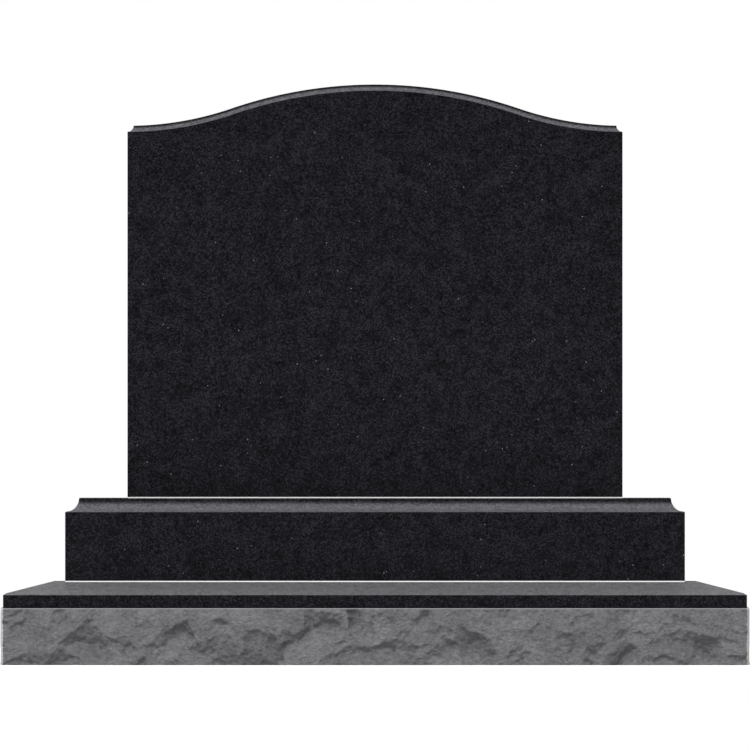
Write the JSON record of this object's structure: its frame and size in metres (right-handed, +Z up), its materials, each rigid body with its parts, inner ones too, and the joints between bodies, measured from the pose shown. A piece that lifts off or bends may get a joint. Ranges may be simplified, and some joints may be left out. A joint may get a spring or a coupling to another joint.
{
  "type": "headstone",
  "caption": "Upright headstone: swept-crown tablet on a coved base, bevelled plate and rock-faced foundation; stands by its own weight to mark a grave and carry an inscription.",
  "frame": {"origin": "middle of the foundation's flat underside, which stands on the ground", "axes": "+X along the stones' length, to the right as seen from the front; -Y straight out of the tablet's front face; +Z up"},
  "size_m": [1.357, 0.564, 1.054],
  "materials": {
    "polished_black_granite": "polished, fine black crystals with a faint blue cast and rare pale specks; coves honed to grey",
    "honed_black_granite": "honed grey bevel and ledge, polished black fascia",
    "jointing_compound": "pale, fine, matt, struck just behind the stones' faces",
    "rock_faced_granite": "rock-faced sides with chipped hollows and bruised arrises, sawn top and underside"
  },
  "bodies": {
    "root": {"foundation": "rock_faced_granite", "plate": "honed_black_granite", "base_bed": "jointing_compound", "base": "polished_black_granite", "tablet_bed": "jointing_compound", "tablet": "polished_black_granite"}
  },
  "joints": []
}
